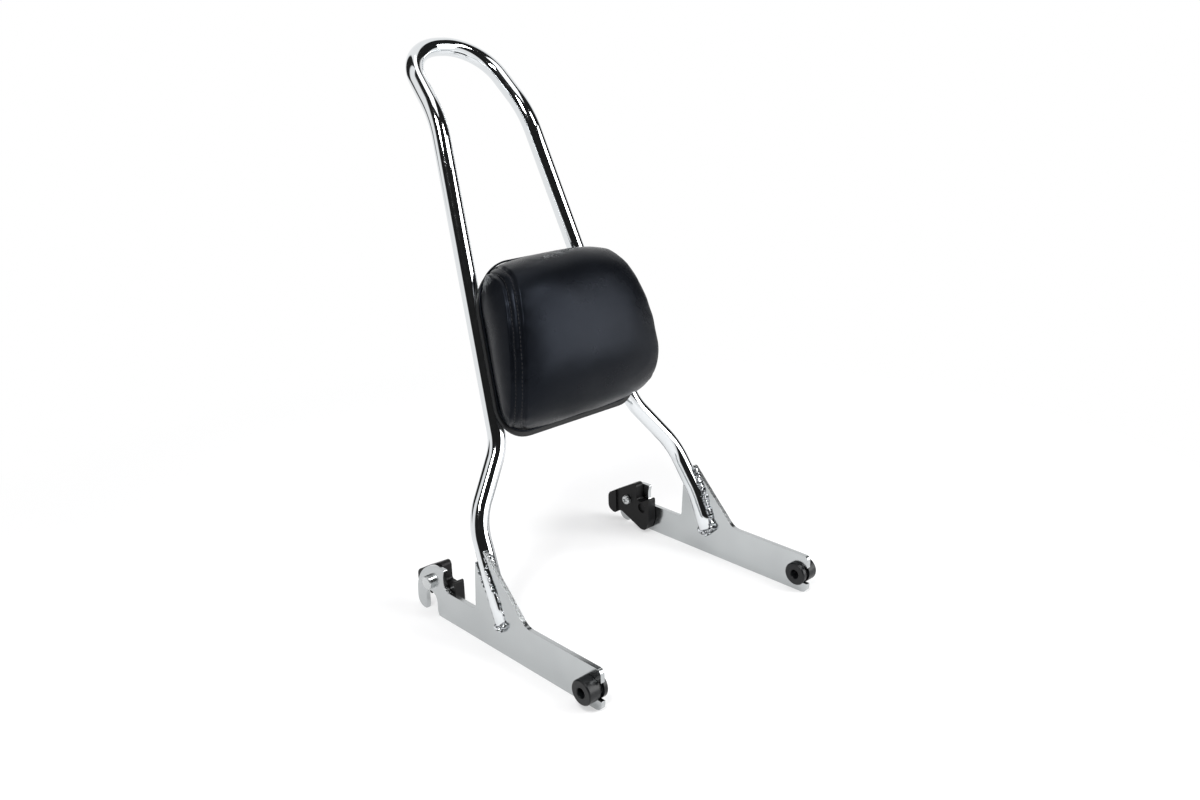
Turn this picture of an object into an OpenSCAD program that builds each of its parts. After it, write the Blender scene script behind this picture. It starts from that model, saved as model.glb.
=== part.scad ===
// Detachable passenger backrest for a motorbike: a bent tube hoop on two
// side plates that hang on docking bushings at the front and are locked by
// a turning latch at the rear, with a padded rest in front of the hoop.
// Millimetres. X is across the bike, -Y is forward, Z is up, and the part
// stands on the lower edges of the side plates at Z = 0.

/* [Hoop] */
// Outer diameter of the hoop tube
tube_d = 16; // [14:0.5:18]
// Wall of the hoop tube
tube_wall = 2; // [1.5:0.5:3]
// Distance between the middle planes of the two side plates
plate_span = 255.4; // [240:0.2:280]
// Height of the tube's axis at the top of the hoop
hoop_top = 476.7; // [440:1:520]
// How far the top of the hoop lies behind the foot of the tube
hoop_lean = 217.9; // [200:1:240]
// Distance of the upper bends from the middle plane
hoop_half_top = 41.3; // [39:0.5:60]
// Radius of the upper bends, to the tube's axis
hoop_top_r = 43; // [30:1:44]

/* [Side plates] */
// Thickness of the steel side plates
plate_t = 4; // [3:0.5:6]
// Height of the plate's front arm
arm_h = 36.3; // [32:0.5:42]
// Front end of the plate
plate_front = -109; // [-115:1:-105]
// Rear end of the plate
plate_rear = 130.8; // [128:1:140]
// Height of the rounded rear lobe
lobe_h = 48; // [46:1:56]
// Radius of the rear lobe
lobe_r = 35.5; // [25:0.5:38]
// Height of the fin that carries the tube
fin_h = 87; // [75:1:92]
// How far the weld beads reach past the tube
bead_w = 2.4; // [1.5:0.1:4]

/* [Docking] */
// Place of the front docking bushing along the plate
dock_y = -98; // [-100:0.5:-94]
// Height of the front docking bushing
dock_z = 17.2; // [15:0.1:19]
// Outer diameter of the docking bushing
bush_d = 21.2; // [19:0.2:23]
// Diameter of the bushing's groove
neck_d = 15.8; // [14:0.2:17]
// Bore of the docking bushing, for an 8 mm stud
bush_bore = 8.2; // [6.2:0.1:9]
// Length of the bushing outside the plate
bush_out = 10.9; // [8:0.1:14]
// Length of the bushing inside the plate
bush_in = 4.3; // [3:0.1:7]
// Centre of the rear docking notch along the plate
notch_y = 109.2; // [107:0.2:111]
// Width of the rear docking notch
notch_w = 16.4; // [14:0.2:18]
// Height of the notch's round top
notch_top = 21; // [18:0.2:23]

/* [Latch] */
// Height of the latch pivot
pivot_z = 30.2; // [28:0.2:36]
// Diameter of the latch pivot
pivot_d = 8; // [7:0.2:9]
// Diameter of the chrome pivot head
pivot_head_d = 12.6; // [11:0.2:16]
// Length of the pivot head outside the plate
pivot_head_h = 5.5; // [3:0.1:8]
// Thickness of the latch lever
lever_t = 10; // [8:0.5:12]
// Web that closes the lever's channel on the inner side
lever_web = 3.5; // [2.5:0.1:4]
// Diameter of the stud end that the lever hooks under
stud_d = 12; // [10:0.2:12.6]
// How far the lever turns from open to locked
lever_turn = 55; // [40:1:60]
// Diameter of the latch screw's head
screw_head_d = 9.6; // [8:0.2:11]
// Radial running clearance of the latch lever on its pivot
run_fit = 0.05; // [0.02:0.01:0.1]

/* [Pad] */
// Width of the pad's backing tray at its lower edge
pad_w_low = 168; // [150:1:176]
// Width of the pad's backing tray at its upper edge
pad_w_top = 134; // [120:1:145]
// Height of the backing tray
pad_h = 148; // [135:1:160]
// Depth of the cushion at its fullest place
pad_depth = 58.5; // [50:0.5:75]
// Thickness of the pad's cover
cover_t = 1.6; // [1:0.1:2.5]
// How far the tray's lip shows below the cushion
lip = 4.5; // [3:0.5:7]
// Thickness of the moulded backing tray
tray_t = 4; // [2.5:0.5:5]
// Height of the two cross straps
strap_h = 24; // [18:1:30]
// Thickness of the cross straps
strap_t = 4; // [3:0.5:6]

/* [Hidden] */
$fn = 48;
eps = 0.01;

tube_r = tube_d / 2;
plate_x = plate_span / 2;
face_in = plate_x - plate_t / 2;
face_out = plate_x + plate_t / 2;

// The hoop's axis from the left foot up to the top: corners and bend radii
foot = [-plate_x, 3.8, 19.9];
top_y = foot[1] + hoop_lean;
leg = [foot,
    foot + [8.2, 44.1, 85],
    foot + [48.1, 61.2, 136.5],
    [-hoop_half_top - 7.5, top_y - 58.2, hoop_top - 57.3],
    [-hoop_half_top, top_y, hoop_top]];
leg_r = [0, 60, 47, 85, hoop_top_r];
run = concat(leg, [for (i = [len(leg) - 1 : -1 : 0]) flip(leg[i])]);
run_r = concat(leg_r, [for (i = [len(leg_r) - 1 : -1 : 0]) leg_r[i]]);

// The slot that the tube's foot straddles the plate with
foot_dir = unit(leg[1] - leg[0]);
slot_l = 62;

// The pad's own frame: its origin is low on the hoop's straight leg, its
// second axis runs up the leg and its third one points forward
pad_up = unit([0, leg[3][1] - leg[2][1], leg[3][2] - leg[2][2]]);
pad_fwd = [0, -pad_up[2], pad_up[1]];
pad_base = [0, leg[2][1], leg[2][2]];
leg_x0 = -leg[2][0];
leg_taper = (leg[3][0] - leg[2][0]) / norm([0, leg[3][1] - leg[2][1], leg[3][2] - leg[2][2]]);
tray_back = tube_r + 0.3;
tray_front = tray_back + tray_t;
strap_y = [36, 108];
pad_bolt_x = 30;

// Latch sizes, worked out from the docking notch and the pivot
pivot_y = notch_y;
pivot_r = pivot_d / 2;
stud_z = notch_top - notch_w / 2;
stud_reach = pivot_z - stud_z;
channel_r = stud_d / 2 + 0.4;
lever_gap = 0.6;
lever_out = lever_gap + lever_t;
shank_end = lever_out + 0.2;
washer_t = 0.8;
screw_r = 2.5;

function unit(v) = v / norm(v);
function flip(v) = [-v[0], v[1], v[2]];

// Tangent length of the bend at the middle one of three points
function bend_t(a, b, c, r) = r * tan(acos(unit(b - a) * unit(c - b)) / 2);

// Points of a closed outline given as corners [x, y, radius]
function round_corner(a, b, c, r, n) =
    let (u = unit([a[0] - b[0], a[1] - b[1]]), v = unit([c[0] - b[0], c[1] - b[1]]),
        h = acos(u * v) / 2,
        d = r / tan(h), m = [b[0], b[1]] + unit(u + v) * r / sin(h),
        p = [b[0], b[1]] + u * d - m, turn = (u[0] * v[1] - u[1] * v[0]) > 0 ? -1 : 1,
        w = 180 - 2 * h)
    [for (i = [0 : n]) let (k = turn * w * i / n)
        m + [p[0] * cos(k) - p[1] * sin(k), p[0] * sin(k) + p[1] * cos(k)]];
function rounded(c) = [for (i = [0 : len(c) - 1])
    each (c[i][2] == 0 ? [[c[i][0], c[i][1]]]
        : round_corner(c[(i + len(c) - 1) % len(c)], c[i], c[(i + 1) % len(c)], c[i][2],
            max(3, ceil(c[i][2] / 2.5))))];

// Puts the children at p with their axes along x, y and z
module seat(p, x, y, z) {
    multmatrix([[x[0], y[0], z[0], p[0]],
                [x[1], y[1], z[1], p[1]],
                [x[2], y[2], z[2], p[2]],
                [0, 0, 0, 1]]) children();
}

// A round rod from a to b
module rod(a, b, r) {
    z = unit(b - a);
    x = unit(cross(z, [0.3, -1, 0.1]));
    seat(a, x, cross(z, x), z) cylinder(h = norm(b - a), r = r);
}

// The bend of a rod of radius r at corner b, with its axis on radius bend
module elbow(a, b, c, bend, r) {
    d1 = unit(b - a);
    d2 = unit(c - b);
    t = bend_t(a, b, c, bend);
    n = unit(d2 - (d1 * d2) * d1);
    start = b - t * d1;
    seat(start + bend * n, -n, d1, cross(-n, d1))
        rotate_extrude(angle = acos(d1 * d2)) translate([bend, 0]) circle(r);
}

// A rod of radius r along the hoop's whole axis. Its straights are a hair
// thinner than its bends and run a little way into them, so no faces are tangent
module hoop_rod(r) {
    n = len(run);
    t = [for (i = [0 : n - 1]) (i == 0 || i == n - 1) ? 0
        : bend_t(run[i - 1], run[i], run[i + 1], run_r[i]) - 1];
    for (i = [0 : n - 2])
        let (d = unit(run[i + 1] - run[i]))
        rod(run[i] + t[i] * d, run[i + 1] - t[i + 1] * d, r - 0.05);
    for (i = [1 : n - 2])
        elbow(run[i - 1], run[i], run[i + 1], run_r[i], r);
}

// Outline of a side plate, seen from the left with the rear to the right
module plate_outline() {
    gap_z = 28;
    difference() {
        polygon(rounded([
            [plate_front, 0, 6],
            [plate_rear, 0, 8],
            [plate_rear, lobe_h, lobe_r],
            [87.6, lobe_h, 0.8],
            [89.4, 41, 2],
            [89.4, gap_z, 7],
            [43.5, gap_z, 5],
            [43.5, fin_h - 3, 2],
            [27, fin_h, 2],
            [-21.9, arm_h, 15],
            [plate_front, arm_h, 4]]));
        // Front slot for the bushing's neck
        translate([dock_y, dock_z]) circle(d = neck_d + 0.2);
        translate([plate_front - 5, dock_z - neck_d / 2 - 0.1])
            square([dock_y - plate_front + 5, neck_d + 0.2]);
        // Rear notch for the docking stud
        translate([notch_y, stud_z]) circle(d = notch_w);
        translate([notch_y - notch_w / 2, -5]) square([notch_w, stud_z + 5]);
        translate([notch_y, 0]) polygon([[-notch_w / 2 - 1.6, -eps], [notch_w / 2 + 1.6, -eps],
            [notch_w / 2, 4], [-notch_w / 2, 4]]);
    }
}

// Extrudes an outline drawn in Y and Z from x = a to x = b
module across(a, b) {
    translate([a, 0, 0]) rotate([90, 0, 90]) linear_extrude(b - a) children();
}

module plate_blank() { across(-face_out, -face_in) plate_outline(); }

module left_or_right(right) { mirror([right ? 1 : 0, 0, 0]) children(); }

// Moves a finished piece so that the part's length is centred on the origin
module placed() { translate([0, -(plate_front + top_y + tube_r) / 2, 0]) children(); }

// The slot in the left foot of the tube
module foot_slot() {
    intersection() {
        rod(foot - foot_dir, foot + slot_l * foot_dir, tube_r + 1);
        across(-face_out, -face_in) translate([-20, 0]) square([90, 100]);
    }
}

// Bent chrome tube whose feet are slotted over the side plates
module hoop() {
    color("gainsboro") difference() {
        hoop_rod(tube_r);
        hoop_rod(tube_r - tube_wall);
        foot_slot();
        mirror([1, 0, 0]) foot_slot();
    }
}

module side_plate(right) {
    color("silver") left_or_right(right) difference() {
        plate_blank();
        translate([-plate_x, pivot_y, pivot_z]) rotate([0, 90, 0])
            cylinder(h = plate_t + 2, r = pivot_r + run_fit, center = true);
        // Above its slot the whole tube passes the fin
        rod(foot + slot_l * foot_dir, foot + (slot_l + 40) * foot_dir, tube_r);
    }
}

// Weld between the tube's foot and one face of the plate
module weld(right, outer) {
    d = foot_dir;
    bead_h = 2.2;
    x0 = outer ? -face_out - bead_h : -face_in;
    color("lightgray") left_or_right(right) difference() {
        intersection() {
            rod(foot - bead_w * d, foot + 58 * d, tube_r + bead_w);
            across(x0, x0 + bead_h) polygon([[-20, 5], [60, 5], [60, 90], [-20, 90]]);
            across(x0 - 1, x0 + bead_h + 1) plate_outline();
        }
        rod(foot, foot + 60 * d, tube_r);
    }
}

// Grooved docking bushing, its long side outside the plate
module docking_bushing(right) {
    r = bush_d / 2;
    c = 0.9;
    g = plate_t / 2 + 0.1;
    b = bush_bore / 2;
    color("dimgray") left_or_right(right)
        translate([-plate_x, dock_y, dock_z]) rotate([0, 90, 0])
        rotate_extrude() polygon([
            [b + 0.6, -g - bush_out], [r - c, -g - bush_out], [r, -g - bush_out + c],
            [r, -g], [neck_d / 2, -g], [neck_d / 2, g], [r, g],
            [r, g + bush_in - c], [r - c, g + bush_in], [b + 0.6, g + bush_in],
            [b, g + bush_in - 0.6], [b, -g - bush_out + 0.6]]);
}

// Outline of the latch lever, about the pivot
module lever_outline() {
    polygon(rounded([
        [-18.5, -27.4, 4],
        [10.5, -14.7, 6],
        [17.5, -20, 4.5],
        [26.6, -16.5, 6],
        [26.6, 0.5, 7],
        [-13.4, 22.6, 3.5],
        [-13.4, 3, 2],
        [-20, 2.8, 3],
        [-30.2, 8.8, 1.5],
        [-30.2, -15, 9],
        [-25.5, -27.4, 5]]));
}

// The channel that takes the docking stud: an arc about the pivot that is
// open downward while the lever is open and hooks under the stud when locked
module lever_channel() {
    r0 = stud_reach - channel_r;
    r1 = stud_reach + channel_r;
    difference() {
        circle(r1);
        circle(r0);
        translate([0, -60]) square([60, 120]);
        for (a = [90, 180]) rotate(a - lever_turn) square([60, 60]);
    }
    for (a = [0, -lever_turn]) rotate(a) translate([0, -stud_reach]) circle(channel_r + 0.3);
    translate([-channel_r, -stud_reach - 25]) square([2 * channel_r, 25]);
}

// Moulded latch lever with its thumb end and its blind channel
module latch_lever(right) {
    color([0.13, 0.13, 0.14]) left_or_right(right)
        translate([-face_in + lever_gap, pivot_y, pivot_z]) rotate([90, 0, 90])
        difference() {
            union() {
                linear_extrude(lever_t) lever_outline();
                linear_extrude(lever_t + 1.8) intersection() {
                    lever_outline();
                    translate([15, -40]) square([40, 80]);
                }
            }
            translate([0, 0, -1]) cylinder(h = lever_t + 2, r = pivot_r + run_fit);
            translate([0, 0, -eps]) linear_extrude(lever_t - lever_web + eps) lever_channel();
            // Round core-out in the face that shows
            translate([-20.5, -3.5, lever_t - 1.8]) cylinder(h = 4, r = 5);
        }
}

// Pivot with a domed head outside and a tapped end inside
module latch_pivot(right) {
    h = pivot_head_h;
    r = pivot_head_d / 2;
    end = plate_t + shank_end;
    color("gainsboro") left_or_right(right)
        translate([-face_out, pivot_y, pivot_z]) rotate([0, 90, 0])
        rotate_extrude() polygon([
            [0, -h], [r * 0.55, -h + 0.15], [r - 0.8, -h + 0.6], [r, -h + 1.4], [r, 0],
            [pivot_r, 0], [pivot_r, end], [screw_r + 0.05, end],
            [screw_r + 0.05, end - 10], [0, end - 10]]);
}

module latch_washer(right) {
    color("silver") left_or_right(right)
        translate([-face_in + shank_end, pivot_y, pivot_z]) rotate([0, 90, 0])
        difference() {
            cylinder(h = washer_t, r = pivot_r + 0.9);
            translate([0, 0, -1]) cylinder(h = washer_t + 2, r = screw_r + 0.1);
        }
}

// Pan-head screw with a cross recess, turned into the end of the pivot
module latch_screw(right) {
    r = screw_head_d / 2;
    color("silver") left_or_right(right)
        translate([-face_in + shank_end + washer_t, pivot_y, pivot_z]) rotate([0, 90, 0])
        difference() {
            rotate_extrude() polygon([
                [0, -9], [screw_r, -9], [screw_r, 0], [r, 0], [r, 1.2],
                [r - 0.6, 2.1], [r * 0.6, 2.7], [0, 2.9]]);
            for (a = [20, 110]) rotate(a) translate([-0.6, -2.6, 1.4]) cube([1.2, 5.2, 3]);
        }
}

// Thin spring washer that keeps the lever where it is put
module wave_washer(right) {
    color("darkgray") left_or_right(right)
        translate([-face_in, pivot_y, pivot_z]) rotate([0, 90, 0])
        difference() {
            cylinder(h = lever_gap - 0.05, r = pivot_r + 3);
            translate([0, 0, -1]) cylinder(h = lever_gap + 2, r = pivot_r + 0.2);
        }
}

// Puts children drawn in the pad's frame onto the hoop
module on_pad() { seat(pad_base, [1, 0, 0], pad_up, pad_fwd) children(); }

// The pad's tapered outline, a distance e inside the tray's side edges and
// low inside its lower edge
module pad_outline(e, low, top) {
    wl = pad_w_low / 2 - e;
    wt = pad_w_top / 2 - e;
    polygon(rounded([[-wl, low, 28 - e], [wl, low, 28 - e],
        [wt, pad_h - top, 43 - e], [-wt, pad_h - top, 43 - e]]));
}

// Side view of the cushion, drawn as height and depth, a distance e inside
module cushion_side(e) {
    f = tray_front + pad_depth - e;
    polygon(rounded([
        [lip + e, 0, 0],
        [lip + e, f - 35, 30],
        [52 + e / 2, f, 60],
        [pad_h - 36 - e / 2, f, 45],
        [pad_h + 2 - e, f - 19, 22],
        [pad_h + 1 - e, 0, 0]]));
}

// Form of the cushion, a distance e inside its surface: its side view, the
// pad's outline and a front that is crowned across
module cushion(e) {
    crown_r = 330;
    intersection() {
        rotate([0, 0, 90]) rotate([90, 0, 0])
            linear_extrude(2 * pad_w_low, center = true) cushion_side(e);
        linear_extrude(tray_front + 2 * pad_depth) pad_outline(2.5 + e, lip + e, e - 2);
        translate([0, -10, tray_front + pad_depth - e - crown_r]) rotate([-90, 0, 0])
            cylinder(h = pad_h + 40, r = crown_r, $fn = 180);
    }
}

// The half-space in front of the tray
module ahead(d) {
    translate([-pad_w_low, -pad_h, d]) cube([2 * pad_w_low, 3 * pad_h, 2 * pad_depth]);
}

// Sewn cover over the foam, open at the back where the tray closes it
module pad_cover() {
    color([0.1, 0.1, 0.11]) on_pad() difference() {
        intersection() {
            cushion(0);
            ahead(tray_front);
        }
        intersection() {
            cushion(cover_t);
            ahead(tray_front - 1);
        }
    }
}

module pad_foam() {
    color("khaki") on_pad() intersection() {
        cushion(cover_t);
        ahead(tray_front);
    }
}

// Moulded tray, the pad's back
module pad_tray() {
    color([0.2, 0.2, 0.21]) on_pad() difference() {
        translate([0, 0, tray_back]) linear_extrude(tray_t) pad_outline(0, 0, 0);
        for (x = [-1, 1], y = strap_y)
            translate([x * pad_bolt_x, y, tray_back - 1]) cylinder(h = tray_t + 2, r = 4.1);
    }
}

// Flat strap between the legs, its ends shaped to the tube
module strap(y) {
    w = leg_x0 - leg_taper * y;
    color("silver") difference() {
        on_pad() difference() {
            translate([-w, y - strap_h / 2, tray_back - strap_t]) cube([2 * w, strap_h, strap_t]);
            for (x = [-1, 1]) translate([x * pad_bolt_x, y, 0])
                cylinder(h = 20, r = 2.7);
        }
        for (s = [0, 1]) mirror([s, 0, 0]) rod(leg[2], leg[3], tube_r);
    }
}

// Place of one of the four pad fasteners
module at_bolt(i) {
    on_pad() translate([i % 2 == 0 ? pad_bolt_x : -pad_bolt_x, strap_y[floor(i / 2)], 0]) children();
}

// Flanged nut set in the tray, with a blind thread toward the strap
module pad_insert(i) {
    color("goldenrod") at_bolt(i) translate([0, 0, tray_back]) difference() {
        union() {
            cylinder(h = tray_t, r = 4.1);
        }
        translate([0, 0, -1]) cylinder(h = tray_t + 2, r = 2.55);
    }
}

module pad_screw(i) {
    color("silver") at_bolt(i) translate([0, 0, tray_back - strap_t]) difference() {
        union() {
            translate([0, 0, -3]) cylinder(h = 3, r = 4.6);
            cylinder(h = strap_t + tray_t, r = 2.5);
        }
        translate([0, 0, -3 - eps]) cylinder(h = 1.8, r = 1.7, $fn = 6);
    }
}

placed() hoop();
placed() side_plate(false);  // side_plate_left
placed() side_plate(true);  // side_plate_right
placed() weld(false, true);  // weld_outer_left
placed() weld(true, true);  // weld_outer_right
placed() weld(false, false);  // weld_inner_left
placed() weld(true, false);  // weld_inner_right
placed() docking_bushing(false);  // docking_bushing_left
placed() docking_bushing(true);  // docking_bushing_right
placed() latch_lever(false);  // latch_lever_left
placed() latch_lever(true);  // latch_lever_right
placed() latch_pivot(false);  // latch_pivot_left
placed() latch_pivot(true);  // latch_pivot_right
placed() latch_washer(false);  // latch_washer_left
placed() latch_washer(true);  // latch_washer_right
placed() latch_screw(false);  // latch_screw_left
placed() latch_screw(true);  // latch_screw_right
placed() wave_washer(false);  // wave_washer_left
placed() wave_washer(true);  // wave_washer_right
placed() pad_cover();
placed() pad_foam();
placed() pad_tray();
placed() strap(strap_y[1]);  // strap_upper
placed() strap(strap_y[0]);  // strap_lower
placed() pad_insert(0);  // pad_insert_1
placed() pad_insert(1);  // pad_insert_2
placed() pad_insert(2);  // pad_insert_3
placed() pad_insert(3);  // pad_insert_4
placed() pad_screw(0);  // pad_screw_1
placed() pad_screw(1);  // pad_screw_2
placed() pad_screw(2);  // pad_screw_3
placed() pad_screw(3);  // pad_screw_4
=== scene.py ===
import math

import bmesh
import bpy
from mathutils import Matrix, Vector, noise
from mathutils.bvhtree import BVHTree
from mathutils.kdtree import KDTree


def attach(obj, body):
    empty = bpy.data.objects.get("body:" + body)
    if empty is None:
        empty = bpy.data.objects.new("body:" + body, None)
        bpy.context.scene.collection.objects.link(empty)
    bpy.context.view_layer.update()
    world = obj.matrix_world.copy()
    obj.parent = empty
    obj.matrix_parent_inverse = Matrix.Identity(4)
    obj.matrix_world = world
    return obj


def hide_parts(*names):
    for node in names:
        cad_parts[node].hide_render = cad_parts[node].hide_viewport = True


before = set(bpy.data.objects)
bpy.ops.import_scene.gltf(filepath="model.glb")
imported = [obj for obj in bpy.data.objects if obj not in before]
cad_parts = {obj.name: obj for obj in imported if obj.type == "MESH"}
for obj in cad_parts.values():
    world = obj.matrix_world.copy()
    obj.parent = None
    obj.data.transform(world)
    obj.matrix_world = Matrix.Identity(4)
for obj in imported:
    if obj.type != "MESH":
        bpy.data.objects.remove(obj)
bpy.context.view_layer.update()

MM = 0.001

# The camera stands where the photograph was taken from
LENS_MM, SENSOR_MM = 32.76, 36
CAMERA_PLACE = (-0.606127, -0.687576, 0.485857)
CAMERA_RIGHT = Vector((0.72537344, -0.68789368, -0.02521233))
CAMERA_UP = Vector((0.23718276, 0.21538613, 0.94728726))
CAMERA_BACK = Vector((-0.64620253, -0.69311695, 0.31939189))

camera_data = bpy.data.cameras.new("camera")
camera_data.sensor_fit = "HORIZONTAL"
camera_data.sensor_width = SENSOR_MM
camera_data.lens = LENS_MM
camera = bpy.data.objects.new("camera", camera_data)
bpy.context.collection.objects.link(camera)
turn = Matrix((CAMERA_RIGHT, CAMERA_UP, CAMERA_BACK)).transposed().to_4x4()
camera.matrix_world = Matrix.Translation(CAMERA_PLACE) @ turn
bpy.context.scene.camera = camera
bpy.context.scene.view_settings.view_transform = "Standard"

# Sockets of a Mix node that mixes colours
MIX_FACTOR, MIX_A, MIX_B, MIX_RESULT = 0, 6, 7, 2


def linear(hex_colour):
    """The linear colour of an sRGB hex value."""
    out = []
    for i in (1, 3, 5):
        c = int(hex_colour[i:i + 2], 16) / 255
        out.append(c / 12.92 if c <= 0.04045 else ((c + 0.055) / 1.055) ** 2.4)
    return (*out, 1)


def add(tree, kind, settings=None, links=None):
    """Adds a node with its settings and the sockets that feed it."""
    node = tree.nodes.new(kind)
    for key, value in (settings or {}).items():
        if isinstance(key, str) and hasattr(node, key):
            setattr(node, key, value)
        else:
            node.inputs[key].default_value = value
    for key, source in (links or {}).items():
        tree.links.new(source, node.inputs[key])
    return node


def start_material(name):
    """A material with its tree, its shader and its Object coordinates."""
    material = bpy.data.materials.new(name)
    material.use_nodes = True
    tree = material.node_tree
    tree.nodes.clear()
    shader = add(tree, "ShaderNodeBsdfPrincipled")
    add(tree, "ShaderNodeOutputMaterial", links={"Surface": shader.outputs["BSDF"]})
    place = add(tree, "ShaderNodeTexCoord").outputs["Object"]
    return material, tree, shader, place


def set_shader(shader, **values):
    for key, value in values.items():
        shader.inputs[key.replace("_", " ")].default_value = value


def feed(tree, shader, **sources):
    """Links sources to the shader's inputs."""
    for key, source in sources.items():
        tree.links.new(source, shader.inputs[key.replace("_", " ")])


def clouds(tree, vector, scale, detail=2.0):
    """Noise from 0 to 1, with its scale per metre."""
    node = add(tree, "ShaderNodeTexNoise", {"Scale": scale, "Detail": detail}, {"Vector": vector})
    return node.outputs["Fac"]


def ranged(tree, value, low, high, start=0.0, end=1.0):
    """Takes a value's stretch from start to end to the stretch from low to high."""
    limits = {"From Min": start, "From Max": end, "To Min": low, "To Max": high}
    return add(tree, "ShaderNodeMapRange", limits, {"Value": value}).outputs["Result"]


def tinted(tree, factor, dark, light):
    """A colour between two sRGB hex values."""
    colours = {"data_type": "RGBA", MIX_A: linear(dark), MIX_B: linear(light)}
    return add(tree, "ShaderNodeMix", colours, {MIX_FACTOR: factor}).outputs[MIX_RESULT]


def bumped(tree, height, strength, depth_mm):
    """The normal of a surface with a fine relief."""
    node = add(tree, "ShaderNodeBump", {"Strength": strength, "Distance": depth_mm * MM},
               {"Height": height})
    return node.outputs["Normal"]


# Decorative chrome on polished steel tube: a hard mirror whose long, faint
# waves, left by the bending and the buffing wheel, make its streaks wander
chrome, tree, shader, place = start_material("decorative_chrome")
set_shader(shader, Base_Color=linear("#dfe2e4"), Metallic=1.0)
waves = clouds(tree, place, 22.0, 1.0)
haze = clouds(tree, place, 160.0, 4.0)
feed(tree, shader, Roughness=ranged(tree, haze, 0.045, 0.085, 0.35, 0.75),
     Normal=bumped(tree, waves, 0.25, 0.6))

# Chrome over laser-cut sheet, buffed flat but not to a mirror: a cool grey
# plane with soft reflections and fine marks along the plate
plated, tree, shader, place = start_material("satin_chromed_sheet")
set_shader(shader, Metallic=1.0)
drawn_out = add(tree, "ShaderNodeMapping", {"Scale": (1.0, 0.08, 1.0)}, {"Vector": place})
marks = clouds(tree, drawn_out.outputs["Vector"], 900.0, 3.0)
cloud = clouds(tree, place, 14.0)
feed(tree, shader, Base_Color=tinted(tree, cloud, "#a6a9aa", "#c6c9ca"),
     Roughness=ranged(tree, marks, 0.15, 0.23, 0.3, 0.7), Normal=bumped(tree, marks, 0.12, 0.05))

# Weld bead under chrome: bright ripples and spatter pits, whose hollows are painted dull grey as
# painted shade and painted dark reflections
bead_metal, tree, shader, place = start_material("chromed_weld_bead")
set_shader(shader, Metallic=1.0, Roughness=0.1)
pits = clouds(tree, place, 420.0)
# The low spots of the pit relief get a dark grey base colour: painted shade and painted dark
# reflection in the hollows
painted_hollow_shade = ranged(tree, pits, 0.0, 1.0, 0.42, 0.56)
feed(tree, shader, Base_Color=tinted(tree, painted_hollow_shade, "#3c4043", "#e0e3e6"),
     Normal=bumped(tree, pits, 0.9, 0.9))

# Zinc-plated steel fasteners and washers: bright grey with a soft, slightly
# cloudy shine
zinc, tree, shader, place = start_material("zinc_plated_steel")
set_shader(shader, Metallic=1.0)
cloud = clouds(tree, place, 260.0, 4.0)
feed(tree, shader, Base_Color=tinted(tree, cloud, "#b9bcbd", "#d6d8d8"),
     Roughness=ranged(tree, cloud, 0.2, 0.4))

# Turned acetal bushings: near black, a soft sheen with fine turning rings
# about the bushing's axis
TO_BUSHING_AXIS = (0, 0.15835, -0.0172)
acetal, tree, shader, place = start_material("turned_black_acetal")
set_shader(shader, Base_Color=linear("#0d0f11"), Specular_IOR_Level=0.28)
centred = add(tree, "ShaderNodeMapping", {"Location": TO_BUSHING_AXIS}, {"Vector": place})
rings = add(tree, "ShaderNodeTexWave",
            {"wave_type": "RINGS", "rings_direction": "X", "Scale": 420.0, "Distortion": 0.3},
            {"Vector": centred.outputs["Vector"]})
scuff = clouds(tree, place, 500.0, 4.0)
feed(tree, shader, Roughness=ranged(tree, scuff, 0.28, 0.42),
     Normal=bumped(tree, rings.outputs["Fac"], 0.12, 0.05))

# Glass-filled nylon from a spark-eroded mould: black, with a fine even grain
# that spreads its shine
nylon, tree, shader, place = start_material("moulded_black_nylon")
set_shader(shader, Specular_IOR_Level=0.2)
grain = clouds(tree, place, 1800.0)
flow = clouds(tree, place, 60.0)
feed(tree, shader, Base_Color=tinted(tree, flow, "#050506", "#0b0b0c"),
     Roughness=ranged(tree, grain, 0.34, 0.5), Normal=bumped(tree, grain, 0.25, 0.08))

# Grained leather, dyed black and finished: shallow cells about 1 mm across,
# drawn a little larger than life so that they show, under a soft blue-grey sheen
leather, tree, shader, place = start_material("black_grained_leather")
set_shader(shader, Specular_IOR_Level=0.105, Specular_Tint=linear("#d6e4ff"), Sheen_Weight=0.01,
           Sheen_Roughness=0.4, Sheen_Tint=linear("#9fb0c8"))
cells = add(tree, "ShaderNodeTexVoronoi", {"feature": "DISTANCE_TO_EDGE", "Scale": 900.0},
            {"Vector": place})
pores = clouds(tree, place, 2400.0)
dye = clouds(tree, place, 30.0, 4.0)
edge = ranged(tree, cells.outputs["Distance"], 0.0, 1.0, 0.0, 0.12)
PORE_SHARE = 0.35
relief = add(tree, "ShaderNodeMath", {"operation": "MULTIPLY_ADD", 1: PORE_SHARE},
             {0: pores, 2: edge})
feed(tree, shader, Base_Color=tinted(tree, dye, "#060709", "#0b0d11"),
     Roughness=ranged(tree, dye, 0.25, 0.34, 0.3, 0.7),
     Normal=bumped(tree, relief.outputs["Value"], 0.22, 0.12))

# Bonded polyester thread: black, slightly glossy, twisted
thread, tree, shader, place = start_material("black_polyester_thread")
set_shader(shader, Base_Color=linear("#0c0d10"), Roughness=0.4, Specular_IOR_Level=0.3)
feed(tree, shader, Normal=bumped(tree, clouds(tree, place, 3000.0), 0.3, 0.05))

# ABS backing tray, moulded with a light texture: dark grey and even
abs_black, tree, shader, place = start_material("textured_black_abs")
set_shader(shader, Roughness=0.5, Specular_IOR_Level=0.2)
grain = clouds(tree, place, 1200.0, 3.0)
feed(tree, shader, Base_Color=tinted(tree, grain, "#0d0e0f", "#151618"),
     Normal=bumped(tree, grain, 0.3, 0.1))

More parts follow.
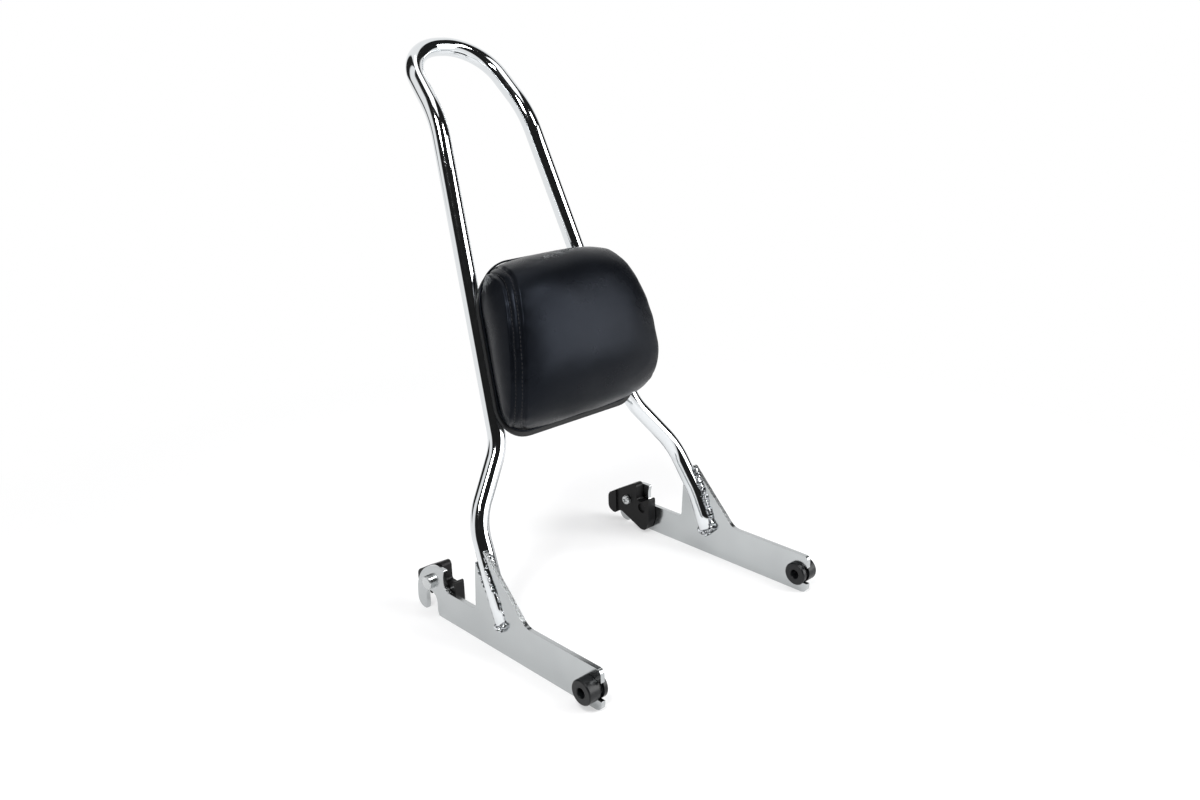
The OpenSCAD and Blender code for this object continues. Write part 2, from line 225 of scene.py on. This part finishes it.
# Machined brass inserts: yellow metal with a dull turned finish
brass, tree, shader, place = start_material("turned_brass")
set_shader(shader, Base_Color=linear("#c9a45a"), Metallic=1.0)
feed(tree, shader, Roughness=ranged(tree, clouds(tree, place, 400.0, 3.0), 0.25, 0.45))

# CAD pieces that stay, with softened edges
SAME_PLACE = 0.003 * MM
FLAT_WITHIN = math.radians(0.3)
EDGE_ANGLE = math.radians(40)


def dress(node, material, edge_mm):
    """Gives a CAD piece its finish and softens its edges."""
    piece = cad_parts[node]
    piece.data.materials.clear()
    piece.data.materials.append(material)
    normals = piece.data.attributes.get("custom_normal")
    if normals:
        piece.data.attributes.remove(normals)
    for line in piece.data.edges:
        line.use_edge_sharp = False
    merge = piece.modifiers.new("merge", "WELD")
    merge.merge_threshold = SAME_PLACE
    flat = piece.modifiers.new("flat_faces", "DECIMATE")
    flat.decimate_type = "DISSOLVE"
    flat.angle_limit = FLAT_WITHIN
    soften = piece.modifiers.new("soft_edges", "BEVEL")
    soften.width = edge_mm * MM
    soften.segments = 2
    soften.limit_method = "ANGLE"
    soften.angle_limit = EDGE_ANGLE
    soften.harden_normals = True
    soften.use_clamp_overlap = True
    level = piece.modifiers.new("level_shading", "WEIGHTED_NORMAL")
    level.weight = 50
    for face in piece.data.polygons:
        face.use_smooth = True


SIDES = ("left", "right")
for side in SIDES:
    dress(f"side_plate_{side}", plated, 0.35)
    dress(f"docking_bushing_{side}", acetal, 0.3)
    dress(f"latch_lever_{side}", nylon, 0.7)
    dress(f"latch_pivot_{side}", zinc, 0.2)
    dress(f"latch_washer_{side}", zinc, 0.12)
    dress(f"latch_screw_{side}", zinc, 0.12)
    dress(f"wave_washer_{side}", zinc, 0.06)
dress("pad_tray", abs_black, 1.0)
for level in ("upper", "lower"):
    dress(f"strap_{level}", plated, 0.4)
for number in range(1, 5):
    dress(f"pad_insert_{number}", brass, 0.1)
    dress(f"pad_screw_{number}", zinc, 0.25)


def piece_from(bm, name, material, body, replaced=()):
    """Turns a bmesh into a finished piece that rides on a body."""
    mesh = bpy.data.meshes.new(name)
    bm.to_mesh(mesh)
    bm.free()
    for face in mesh.polygons:
        face.use_smooth = True
    mesh.materials.append(material)
    piece = bpy.data.objects.new(name, mesh)
    bpy.context.collection.objects.link(piece)
    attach(piece, body)
    if replaced:
        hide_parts(*replaced)
    return piece


def sweep(bm, path, radii, sides, caps=True):
    """Draws a ring along a path of points, with a radius for each point."""
    count = len(path)
    heading = (path[1] - path[0]).normalized()
    frame_turn = heading.to_track_quat("Z", "Y").to_matrix()
    ring = bmesh.ops.create_circle(bm, segments=sides, radius=1.0, cap_ends=False)["verts"]
    shape = [v.co.copy() for v in ring]
    edges = list({e for v in ring for e in v.link_edges})
    first = ring
    for i in range(count):
        ahead = path[min(i + 1, count - 1)] - path[max(i - 1, 0)]
        step = heading.rotation_difference(ahead.normalized())
        heading = ahead.normalized()
        frame_turn = step.to_matrix() @ frame_turn
        if i:
            made = bmesh.ops.extrude_edge_only(bm, edges=edges)["geom"]
            new = [g for g in made if isinstance(g, bmesh.types.BMVert)]
            edges = [g for g in made if isinstance(g, bmesh.types.BMEdge)
                     and all(v in set(new) for v in g.verts)]
            nearest = {}
            for v in new:
                for e in v.link_edges:
                    other = e.other_vert(v)
                    if other in place_in_ring:
                        nearest[v] = place_in_ring[other]
            place_in_ring = nearest
        else:
            place_in_ring = {v: k for k, v in enumerate(ring)}
        for v, k in place_in_ring.items():
            v.co = path[i] + frame_turn @ (shape[k] * radii[i])
    last = list(place_in_ring)
    if caps:
        for loop in (first, last):
            rim = {e for v in loop for e in v.link_edges if all(w in set(loop) for w in e.verts)}
            bmesh.ops.contextual_create(bm, geom=list(rim))
    bmesh.ops.recalc_face_normals(bm, faces=bm.faces)
    return first, last


# The hoop's axis: corners in millimetres, with the radius of each bend
foot = Vector((-125.6, -50.7, 27.5))
knee = Vector((-125.2, -37.0, 60.0))
corners = [foot, knee, Vector((-119.5, -12.447, 104.910)), Vector((-79.6, 4.658, 156.392)),
           Vector((-48.8, 103.149, 419.417)), Vector((-41.3, 161.35, 476.7))]
radii = [0, 120, 60, 47, 85, 43]
corners += [Vector((-c.x, c.y, c.z)) for c in reversed(corners)]
radii += radii[::-1]
TUBE_R, BORE_R = 8.0, 6.0
HOOP_SIDES = 56
# The cut ends of the tube: chamfers outside and inside, and how much bore is drawn
END_CHAMFER, BORE_CHAMFER, BORE_SHOWN = 0.4, 0.3, 26


def bent_line(corners, radii, step=2.0):
    """Points along a line of straights and bends."""
    line = [corners[0]]
    for i in range(1, len(corners) - 1):
        a = (corners[i] - corners[i - 1]).normalized()
        b = (corners[i + 1] - corners[i]).normalized()
        angle = a.angle(b)
        reach = radii[i] * math.tan(angle / 2)
        axis = a.cross(b).normalized()
        middle = corners[i] - reach * a + radii[i] * (b - a.dot(b) * a).normalized()
        spoke = corners[i] - reach * a - middle
        start = corners[i] - reach * a
        pieces = max(1, int((start - line[-1]).length / 12))
        line += [line[-1].lerp(start, k / pieces) for k in range(1, pieces)]
        count = max(6, int(radii[i] * angle / step))
        line += [middle + Matrix.Rotation(angle * k / count, 3, axis) @ spoke
                 for k in range(count + 1)]
    end = corners[-1]
    start = line[-1].copy()
    pieces = max(1, int((end - start).length / 12))
    line += [start.lerp(end, k / pieces) for k in range(1, pieces + 1)]
    return line


hoop_line = bent_line(corners, radii)
bm = bmesh.new()
ends = sweep(bm, [p * MM for p in hoop_line], [TUBE_R * MM] * len(hoop_line), HOOP_SIDES,
             caps=False)
cut_end = ((1 - END_CHAMFER / TUBE_R, -END_CHAMFER),
           ((BORE_R + BORE_CHAMFER) / (TUBE_R - END_CHAMFER), 0),
           (BORE_R / (BORE_R + BORE_CHAMFER), 0.5), (1, BORE_SHOWN))
for ring, inward in zip(ends, (hoop_line[1] - hoop_line[0], hoop_line[-2] - hoop_line[-1])):
    inward = inward.normalized()
    loop = set(ring)
    for scale, depth in cut_end:
        edges = [e for e in bm.edges if e.verts[0] in loop and e.verts[1] in loop]
        made = bmesh.ops.extrude_edge_only(bm, edges=edges)["geom"]
        loop = {g for g in made if isinstance(g, bmesh.types.BMVert)}
        middle = sum((v.co for v in loop), Vector()) / len(loop)
        for v in loop:
            v.co = middle + (v.co - middle) * scale + inward * depth * MM
    rim = [e for e in bm.edges if e.verts[0] in loop and e.verts[1] in loop]
    bmesh.ops.contextual_create(bm, geom=rim)
bmesh.ops.recalc_face_normals(bm, faces=bm.faces)
piece_from(bm, "chrome_hoop", chrome, "frame", ["hoop"])

# The tube's slot in the plates, and the weld beads
PLATE_OUTER, PLATE_INNER = -129.7, -125.7
SLOT_LOW, SLOT_ROUND = 50, 6
STRAIGHT_FROM = SLOT_LOW + SLOT_ROUND
CUT_FROM, CUT_DEPTH = 122, 12


def axis_at(z):
    """The tube's axis and its direction at a height between the foot and the first bend."""
    a, b = (foot, knee) if z < knee.z else (knee, corners[2])
    return a.lerp(b, (z - a.z) / (b.z - a.z)), (b - a).normalized()


def beside_tube(z, w, x):
    """A point of the plane x at w behind the tube's axis, square to it."""
    p, d = axis_at(z)
    return Vector((x, p.y + w * d.z, p.z - w * d.y))


# The fin is open at its top, where the tube passes through it
slot = [beside_tube(z, w, 0)
        for z, w in ((100, 9), (78, 9), (66, TUBE_R), (STRAIGHT_FROM, TUBE_R))]
slot += [beside_tube(STRAIGHT_FROM - SLOT_ROUND * math.sin(math.radians(a)),
                     TUBE_R * math.cos(math.radians(a)), 0) for a in range(15, 180, 15)]
slot += [beside_tube(z, -TUBE_R, 0) for z in (STRAIGHT_FROM, 66, 80, 100)]
# What is trimmed off the fin's rear edge
rear_edge = [Vector((0, y, z))
             for y, z in ((-15, 38), (-17, 38), (-19.6, 72), (-21, 90), (-15, 90))]
bm = bmesh.new()
for sign in (-1, 1):
    for outline in (slot, rear_edge):
        face = bm.faces.new([bm.verts.new(Vector((sign * CUT_FROM, p.y, p.z)) * MM) for p in outline])
        for v in bmesh.ops.extrude_face_region(bm, geom=[face])["geom"]:
            if isinstance(v, bmesh.types.BMVert):
                v.co.x += sign * CUT_DEPTH * MM
bmesh.ops.recalc_face_normals(bm, faces=bm.faces)
cut_mesh = bpy.data.meshes.new("tube_slot")
bm.to_mesh(cut_mesh)
bm.free()
cut = bpy.data.objects.new("tube_slot", cut_mesh)
bpy.context.collection.objects.link(cut)
cut.hide_render = cut.hide_viewport = True
for side in SIDES:
    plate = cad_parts[f"side_plate_{side}"]
    opened = plate.modifiers.new("tube_slot", "BOOLEAN")
    opened.object = cut
    opened.solver = "EXACT"
    opened.use_self = True
    plate.modifiers.move(len(plate.modifiers) - 1, 1)  # after the merge, before the edges


def weld_line(outer):
    """Points and sizes of the weld between the tube's foot and one face of the plate."""
    face_x = PLATE_OUTER if outer else PLATE_INNER
    reach = 7.0 if outer else TUBE_R + 0.3
    thin = 0.8 if outer else 0.7
    blob, blob_x = (3.0, face_x - 1.2) if outer else (3.9, face_x + 1.6)
    line = []
    # Down behind the tube
    for z in range(72, 26, -1):
        w = TUBE_R + 0.3 if z > STRAIGHT_FROM else reach
        line.append((beside_tube(z, w, face_x), thin))
    # Round the foot, where the bead is thickest
    for k in range(1, 24):
        a = math.pi * k / 24
        low = foot.z - 3.0 * math.sin(a)
        line.append((beside_tube(low, (reach - 1.4) * math.cos(a), blob_x), blob))
    # Up in front of it, with a patch of thicker weld on the outer face
    for z in range(27, 82):
        if not outer:
            line.append((beside_tube(z, -TUBE_R - 1.2, face_x), 2.5))
        elif 52 < z < 72:
            line.append((beside_tube(z, -4.4, face_x - 0.9), 1.3))
        else:
            line.append((beside_tube(z, -7.2, face_x), 0.7))
    return line


RIPPLE_MM = 2.6


def bead(side, outer):
    """A rippled weld bead round the foot of the tube."""
    flip = -1 if side == "right" else 1
    seed = Vector((11.0 * outer, 7.0 * flip, 3.0))
    fine = []
    line = weld_line(outer)
    for (a, r), (b, q) in zip(line, line[1:]):
        fine += [(a.lerp(b, k / 3), r + (q - r) * k / 3) for k in range(3)]
    for _ in range(8):
        inside = [((a + b + c) / 3, (r + q + t) / 3)
                  for (a, r), (b, q), (c, t) in zip(fine, fine[1:], fine[2:])]
        fine = [fine[0]] + inside + [fine[-1]]
    total = 0.0
    sizes = []
    path = []
    for i, (p, r) in enumerate(fine):
        if i:
            total += (p - fine[i - 1][0]).length
        ripple = abs(math.sin(math.pi * total / RIPPLE_MM + noise.noise(p * 0.2 + seed))) ** 0.7
        lump = noise.noise(p * 0.35 + seed)
        fade = min(1.0, 0.35 + i / 9, 0.35 + (len(fine) - 1 - i) / 9)
        sizes.append(r * (0.8 + 0.45 * ripple + 0.4 * lump) * fade * MM)
        jolt = Vector((0, noise.noise(p * 0.5 + seed * 2), noise.noise(p * 0.5 - seed))) * 1.2
        p = p + jolt
        path.append(Vector((p.x * flip, p.y, p.z)) * MM)
    bm = bmesh.new()
    sweep(bm, path, sizes, 12)
    where = "outer" if outer else "inner"
    piece_from(bm, f"bead_{where}_{side}", bead_metal, "frame", [f"weld_{where}_{side}"])


for side in SIDES:
    for outer in (True, False):
        bead(side, outer)

# The pad: its plane along the hoop's legs, in millimetres
PAD_BASE = Vector((0, 4.658, 156.392))
PAD_UP = Vector((0, 0.350674, 0.936498))
PAD_FORWARD = Vector((0, -0.936498, 0.350674))
TRAY_FRONT = 12.3


def on_pad(x, s, d):
    """A point of the pad: x across, s up the hoop's leg, d forward of it."""
    return (PAD_BASE + Vector((x, 0, 0)) + s * PAD_UP + d * PAD_FORWARD) * MM


def smooth_curve(points, t):
    """A point at t from 0 to 1 on a smooth curve through points."""
    n = len(points) - 1
    i = min(int(t * n), n - 1)
    f = t * n - i
    p = [points[max(0, min(n, i + k))] for k in (-1, 0, 1, 2)]
    return [0.5 * (2 * b + (c - a) * f + (2 * a - 5 * b + 4 * c - d) * f * f
                   + (3 * b - a - 3 * c + d) * f ** 3) for a, b, c, d in zip(*p)]


# The side seam of the cover: height, depth and half-width, bottom to top
TRAY_EDGE_DEPTH = 12.6
SEAM_AS_SEEN = [(5.5, 12.6, 63), (8.5, 21, 70), (16, 34, 75.5), (28, 45, 79), (45, 53, 79.5),
                (64, 57.5, 77), (85, 60, 73.5), (103, 60, 69.5), (120, 57.5, 65),
                (133, 50.5, 60.5), (141, 38.5, 57), (145, 25, 53), (145.5, 12.6, 47.5)]
# Smoothing rounds the corners off, so the seam starts out a little proud
PROUD_DEPTH, PROUD_WIDTH, PROUD_FROM = 2.5, 4.5, 20
SEAM = []
for s, d, w in SEAM_AS_SEEN:
    share = min(1, (d - TRAY_EDGE_DEPTH) / PROUD_FROM)
    SEAM.append((s, d + PROUD_DEPTH * share, w + PROUD_WIDTH * share))
# Where the cover's sides meet the tray: height and half-width, bottom to top
TRAY_EDGE = [(5.5, 63), (8.5, 69.5), (13, 74.5), (22, 78.2), (38, 77.3), (58, 74.9), (78, 72.6),
             (97, 70.4), (112, 69.1), (124, 66.6), (134, 61), (141, 54.3), (145.5, 47.5)]
CROWN, CROWN_FALL, SWELL = 9.5, 3.4, 5.5

bm = bmesh.new()
for part in (-1, 0, 1):
    wide = 28 if part == 0 else 10
    made = bmesh.ops.create_grid(bm, x_segments=wide, y_segments=44, size=1.0)
    for v in made["verts"]:
        t = (v.co.y + 1) / 2
        s, d, w = smooth_curve(SEAM, t)
        if part == 0:
            crown = CROWN * math.sin(math.pi * t) ** 0.7 * (1 - abs(v.co.x) ** CROWN_FALL)
            s0, d0, _ = smooth_curve(SEAM, max(t - 0.01, 0))
            s1, d1, _ = smooth_curve(SEAM, min(t + 0.01, 1))
            out = Vector((d1 - d0, -(s1 - s0))).normalized() * -1
            v.co = on_pad(v.co.x * w, s + out.x * crown, max(d + out.y * crown, TRAY_FRONT + 0.3))
        else:
            f = (v.co.x + 1) / 2
            s_tray, w_tray = smooth_curve(TRAY_EDGE, t)
            swell = SWELL * math.sin(math.pi * f) * math.sin(math.pi * t) ** 0.6
            v.co = on_pad(part * ((1 - f) * w + f * w_tray + swell), (1 - f) * s + f * s_tray,
                          (1 - f) * d + f * TRAY_EDGE_DEPTH)
bmesh.ops.remove_doubles(bm, verts=bm.verts, dist=0.05 * MM)
bmesh.ops.holes_fill(bm, edges=[e for e in bm.edges if e.is_boundary], sides=0)
bmesh.ops.recalc_face_normals(bm, faces=bm.faces)
cushion = piece_from(bm, "leather_cushion", leather, "frame",
                     ["pad_cover", "pad_foam"])


def bake(piece):
    """Applies a piece's modifiers to its mesh."""
    graph = bpy.context.evaluated_depsgraph_get()
    mesh = bpy.data.meshes.new_from_object(piece.evaluated_get(graph))
    piece.modifiers.clear()
    piece.data = mesh
    return mesh


grid = cushion.modifiers.new("grid", "REMESH")
grid.mode = "VOXEL"
grid.voxel_size = 4 * MM
mesh = bake(cushion)


def pad_depth(co):
    """How far a point lies in front of the legs, in millimetres."""
    return (co / MM - PAD_BASE).dot(PAD_FORWARD)


# The stuffing swells the cover a little, but not where it is stapled to the
# tray. The cloth's shifts are limited and shared with their neighbours, so
# that no fold or pock of the grid shows
STAPLED, SHIFT_LIMIT, CLOTH_STEPS, SHARE_ROUNDS = 3, 3.5, 20, 20
held = cushion.vertex_groups.new(name="held")
stapled = [v.index for v in mesh.vertices if pad_depth(v.co) < TRAY_FRONT + STAPLED]
held.add(stapled, 1.0, "REPLACE")
rest = [v.co.copy() for v in mesh.vertices]
cloth = cushion.modifiers.new("cloth", "CLOTH")
cloth.settings.quality = 6
cloth.settings.mass = 0.4
cloth.settings.tension_stiffness = 30
cloth.settings.compression_stiffness = 30
cloth.settings.bending_stiffness = 2
cloth.settings.use_pressure = True
cloth.settings.uniform_pressure_force = 4
cloth.settings.vertex_group_mass = "held"
cloth.settings.effector_weights.gravity = 0
for step in range(1, CLOTH_STEPS + 1):
    bpy.context.scene.frame_set(step)
graph = bpy.context.evaluated_depsgraph_get()
swollen = cushion.evaluated_get(graph).data
moved = [v.co.copy() for v in swollen.vertices]
cushion.modifiers.clear()
bpy.context.scene.frame_set(1)
shifts = [(b - a) * min(1.0, SHIFT_LIMIT * MM / max((b - a).length, 1e-9))
          for a, b in zip(rest, moved)]
beside = [[] for _ in mesh.vertices]
for line in mesh.edges:
    a, b = line.vertices
    beside[a].append(b)
    beside[b].append(a)
for _ in range(SHARE_ROUNDS):
    shifts = [(shifts[i] + sum((shifts[k] for k in around), Vector())) / (len(around) + 1)
              for i, around in enumerate(beside)]
for v, a, shift in zip(mesh.vertices, rest, shifts):
    v.co = a + shift
cushion.vertex_groups.clear()

even = cushion.modifiers.new("even", "SMOOTH")
even.factor = 0.5
even.iterations = 10
finer = cushion.modifiers.new("finer", "SUBSURF")
finer.levels = finer.render_levels = 2
mesh = bake(cushion)

# The two seams, laid on the swollen cover
skin = BVHTree.FromPolygons([v.co for v in mesh.vertices], [p.vertices for p in mesh.polygons])
SEAM_POINTS, SEAM_START, SEAM_SPAN = 600, 0.015, 0.97
seams = []
for sign in (-1, 1):
    line = []
    for k in range(SEAM_POINTS):
        s, d, w = smooth_curve(SEAM, SEAM_START + SEAM_SPAN * k / (SEAM_POINTS - 1))
        line.append(skin.find_nearest(on_pad(sign * w, s, d))[0])
    for _ in range(12):
        inside = [(a + b + c) / 3 for a, b, c in zip(line, line[1:], line[2:])]
        line = [line[0]] + inside + [line[-1]]
    seams.append(line)
tree_of_points = KDTree(2 * SEAM_POINTS)
lengths = []
for line in seams:
    total = 0.0
    for i, p in enumerate(line):
        total += (p - line[i - 1]).length if i else 0
        tree_of_points.insert(p, len(lengths))
        lengths.append(total)
tree_of_points.balance()


def step_down(x, a, b):
    """Falls smoothly from 1 at a to 0 at b."""
    f = min(max((b - x) / (b - a), 0), 1)
    return f * f * (3 - 2 * f)


# A band 8 mm wide along each seam is drawn in by its stitches, the leather
# beside it puckers, and the whole cover is a little uneven
NEAR_SEAM, DRAWN_IN, BAND_EDGE, BAND_END, PUCKER, UNEVEN = 26, 2.0, 4.2, 7.5, 0.22, 0.7
normals = [v.normal.copy() for v in mesh.vertices]
for v, n in zip(mesh.vertices, normals):
    if pad_depth(v.co) < TRAY_FRONT + 0.8:
        continue
    _, index, gap = tree_of_points.find(v.co)
    r = gap / MM
    along = lengths[index] / MM
    if r < NEAR_SEAM:
        pull = DRAWN_IN * step_down(r, BAND_EDGE, BAND_END)
        pucker = math.sin(along / 2.6 + 3 * noise.noise(v.co / MM * 0.05))
        pull += PUCKER * pucker * math.exp(-max(r - 5, 0) / 5) * step_down(5 - r, 0, 2)
        v.co -= n * pull * MM
    soft = noise.noise(v.co / MM * 0.028 + Vector((4, 1, 7)))
    v.co += n * UNEVEN * soft * MM
for face in mesh.polygons:
    face.use_smooth = True
mesh.materials.clear()
mesh.materials.append(leather)

# The welt: a strip of leather 8 mm wide sewn over each seam, with a row of
# stitches near each of its edges
WELT_HALF, WELT_LIFT, WELT_WIDE = 4.1, 1.0, 13
MIDDLE = WELT_WIDE // 2
STITCH_ROWS, STITCH_STEP, STITCH_AT = (2, 10), 3.6, 2.7
STITCH_SIZE = (1.35 * MM, 0.42 * MM, 0.36 * MM, 1)
mesh.update()
skin = BVHTree.FromPolygons([v.co for v in mesh.vertices], [p.vertices for p in mesh.polygons])
strip = bmesh.new()
bm = bmesh.new()
for line in seams:
    stations = []
    for i in range(0, len(line), 2):
        a, b = line[max(i - 1, 0)], line[min(i + 1, len(line) - 1)]
        along = (b - a).normalized()
        middle, normal, _, _ = skin.find_nearest(line[i])
        beside = along.cross(normal).normalized()
        lift = []
        for k in range(WELT_WIDE):
            u = WELT_HALF * (k - MIDDLE) / MIDDLE
            spot, n, _, _ = skin.find_nearest(middle + beside * u * MM)
            rise = WELT_LIFT * (1 - abs(u / WELT_HALF) ** 6) - 0.25
            rise -= 0.22 * math.exp(-((abs(u) - STITCH_AT) / 0.45) ** 2)
            lift.append(spot + (n + normal).normalized() * rise * MM)
        stations.append(lift)
    for _ in range(4):
        inside = [[(p + q + r) / 3 for p, q, r in zip(x, y, z)]
                  for x, y, z in zip(stations, stations[1:], stations[2:])]
        stations = [stations[0]] + inside + [stations[-1]]
    rows = [[strip.verts.new(p) for p in lift] for lift in stations]
    for upper, lower in zip(rows, rows[1:]):
        for k in range(WELT_WIDE - 1):
            strip.faces.new((upper[k], upper[k + 1], lower[k + 1], lower[k]))
    travelled = 0.0
    next_stitch = 3 * MM
    for x, y in zip(stations, stations[1:]):
        travelled += (y[MIDDLE] - x[MIDDLE]).length
        if travelled < next_stitch:
            continue
        next_stitch += STITCH_STEP * MM
        for k in STITCH_ROWS:
            along = (y[k] - x[k]).normalized()
            across = (x[k + 1] - x[k - 1]).normalized()
            n = across.cross(along).normalized()
            n = n if n.dot(x[k] - on_pad(0, 70, 30)) > 0 else -n
            pose = Matrix((along, n.cross(along), n)).transposed().to_4x4()
            pose.translation = x[k] + n * 0.1 * MM
            bmesh.ops.create_uvsphere(bm, u_segments=8, v_segments=5, radius=1.0,
                                      matrix=pose @ Matrix.Diagonal(STITCH_SIZE))
bmesh.ops.recalc_face_normals(strip, faces=strip.faces)
piece_from(strip, "cover_welt", leather, "frame")
piece_from(bm, "cover_stitches", thread, "frame")

# Thin roll where the cover turns in against the tray
HEM_R, HEM_DEPTH = 0.9, 12.9
edge = [Vector((x, s, 0)) for x, s in ((0, 4.7), (81.3, 4.7), (64.6, 149.6), (-64.6, 149.6),
                                       (-81.3, 4.7), (0, 4.7))]
hem_line = [on_pad(p.x, p.y, HEM_DEPTH) for p in bent_line(edge, [0, 25.5, 40.5, 40.5, 25.5, 0])]
bm = bmesh.new()
sweep(bm, hem_line, [HEM_R * MM] * len(hem_line), 10)
piece_from(bm, "cover_hem", leather, "frame")

# The floor: matt where light falls on it, and a glow for the eye and for
# mirrors, which is weaker near the part so that its shadow shows
SHADOW_TO, CLEAR_FROM, SHADOW_GLOW = 0.3, 0.75, 0.48
floor_material = bpy.data.materials.new("white_studio_floor")
floor_material.use_nodes = True
tree = floor_material.node_tree
tree.nodes.clear()
matt = add(tree, "ShaderNodeBsdfDiffuse", {"Color": linear("#f4f4f4")})
glow = add(tree, "ShaderNodeEmission", {"Color": (1, 1, 1, 1), "Strength": 1.0})
ray = add(tree, "ShaderNodeLightPath")
seen = add(tree, "ShaderNodeMath", {"operation": "MAXIMUM"},
           {0: ray.outputs["Is Camera Ray"], 1: ray.outputs["Is Glossy Ray"]})
seen = add(tree, "ShaderNodeMath", {"operation": "MAXIMUM"},
           {0: seen.outputs["Value"], 1: ray.outputs["Is Transmission Ray"]})
spot = add(tree, "ShaderNodeTexCoord").outputs["Object"]
far = add(tree, "ShaderNodeVectorMath", {"operation": "LENGTH"}, {0: spot})
clear = ranged(tree, far.outputs["Value"], SHADOW_GLOW, 1.0, SHADOW_TO, CLEAR_FROM)
share = add(tree, "ShaderNodeMath", {"operation": "MULTIPLY"},
            {0: seen.outputs["Value"], 1: clear})
both = add(tree, "ShaderNodeMixShader",
           links={0: share.outputs["Value"], 1: matt.outputs["BSDF"], 2: glow.outputs["Emission"]})
add(tree, "ShaderNodeOutputMaterial", links={"Surface": both.outputs["Shader"]})

bm = bmesh.new()
bmesh.ops.create_grid(bm, x_segments=1, y_segments=1, size=6.0)
mesh = bpy.data.meshes.new("floor")
bm.to_mesh(mesh)
bm.free()
mesh.materials.append(floor_material)
floor = bpy.data.objects.new("floor", mesh)
floor.location.z = -0.0002
bpy.context.collection.objects.link(floor)

# The room: white all round for the camera, soft grey for what it lights, and
# for mirrors white low down, with dark sides in the ramp above. The ramp goes
# round the room from the far side over the right, the camera and the left
WHITE, AMBIENT = (1, 1, 1, 1), (0.55, 0.55, 0.56, 1)
LEFTWARD, TOWARD = (-0.731, 0.682, 0), (-0.682, -0.731, 0)
LOW_FROM, LOW_TO = -0.02, 0.04
ROOM = ((0.11, 1.0), (0.125, 0.015), (0.66, 0.015), (0.68, 1.0),
        (0.76, 1.0), (0.78, 0.02), (0.87, 0.02), (0.885, 1.0))
world = bpy.data.worlds.new("studio")
bpy.context.scene.world = world
world.use_nodes = True
tree = world.node_tree
tree.nodes.clear()
direction = add(tree, "ShaderNodeTexCoord").outputs["Generated"]
leftward = add(tree, "ShaderNodeVectorMath", {"operation": "DOT_PRODUCT", 1: LEFTWARD},
               {0: direction})
toward = add(tree, "ShaderNodeVectorMath", {"operation": "DOT_PRODUCT", 1: TOWARD}, {0: direction})
height = add(tree, "ShaderNodeSeparateXYZ", links={"Vector": direction}).outputs["Z"]
turned = add(tree, "ShaderNodeMath", {"operation": "ARCTAN2"},
             {0: leftward.outputs["Value"], 1: toward.outputs["Value"]})
turned = ranged(tree, turned.outputs["Value"], 0.0, 1.0, -math.pi, math.pi)
ramp = add(tree, "ShaderNodeValToRGB", links={"Fac": turned})
for stop, position in zip(ramp.color_ramp.elements, (0.0, 1.0)):
    stop.position = position
    stop.color = WHITE
for position, level in ROOM:
    stop = ramp.color_ramp.elements.new(position)
    stop.color = (level, level, level, 1)
low = ranged(tree, height, 0.0, 1.0, LOW_FROM, LOW_TO)
room = add(tree, "ShaderNodeMix", {"data_type": "RGBA", MIX_A: WHITE},
           {MIX_FACTOR: low, MIX_B: ramp.outputs["Color"]})
ray = add(tree, "ShaderNodeLightPath")
mirror = add(tree, "ShaderNodeMath", {"operation": "MAXIMUM"},
             {0: ray.outputs["Is Glossy Ray"], 1: ray.outputs["Is Transmission Ray"]})
lit = add(tree, "ShaderNodeMix", {"data_type": "RGBA", MIX_A: AMBIENT},
          {MIX_FACTOR: mirror.outputs["Value"], MIX_B: room.outputs[MIX_RESULT]})
final = add(tree, "ShaderNodeMix", {"data_type": "RGBA", MIX_B: WHITE},
            {MIX_FACTOR: ray.outputs["Is Camera Ray"], MIX_A: lit.outputs[MIX_RESULT]})
shade = add(tree, "ShaderNodeBackground", {"Strength": 1.0},
            {"Color": final.outputs[MIX_RESULT]})
add(tree, "ShaderNodeOutputWorld", links={"Surface": shade.outputs["Background"]})


def soft_box(name, place, aim, size, watts):
    """A rectangular lamp at a place, aimed at a point."""
    light = bpy.data.lights.new(name, "AREA")
    light.shape = "RECTANGLE"
    light.size, light.size_y = size
    light.energy = watts
    lamp = bpy.data.objects.new(name, light)
    lamp.location = place
    lamp.rotation_euler = (Vector(aim) - Vector(place)).to_track_quat("-Z", "Y").to_euler()
    bpy.context.collection.objects.link(lamp)


soft_box("key", (-0.93, -0.53, 1.42), (-0.05, 0, 0.29), (0.3, 0.5), 16)
soft_box("top", (0.2, -0.2, 2.0), (0, 0, 0.2), (1.2, 0.8), 5)
soft_box("fill", (1.05, -1.5, 0.65), (0, 0, 0.2), (1.1, 1.4), 34)
soft_box("window", (0.42, -0.95, 1.3), (0, 0, 0.3), (0.35, 0.35), 5)
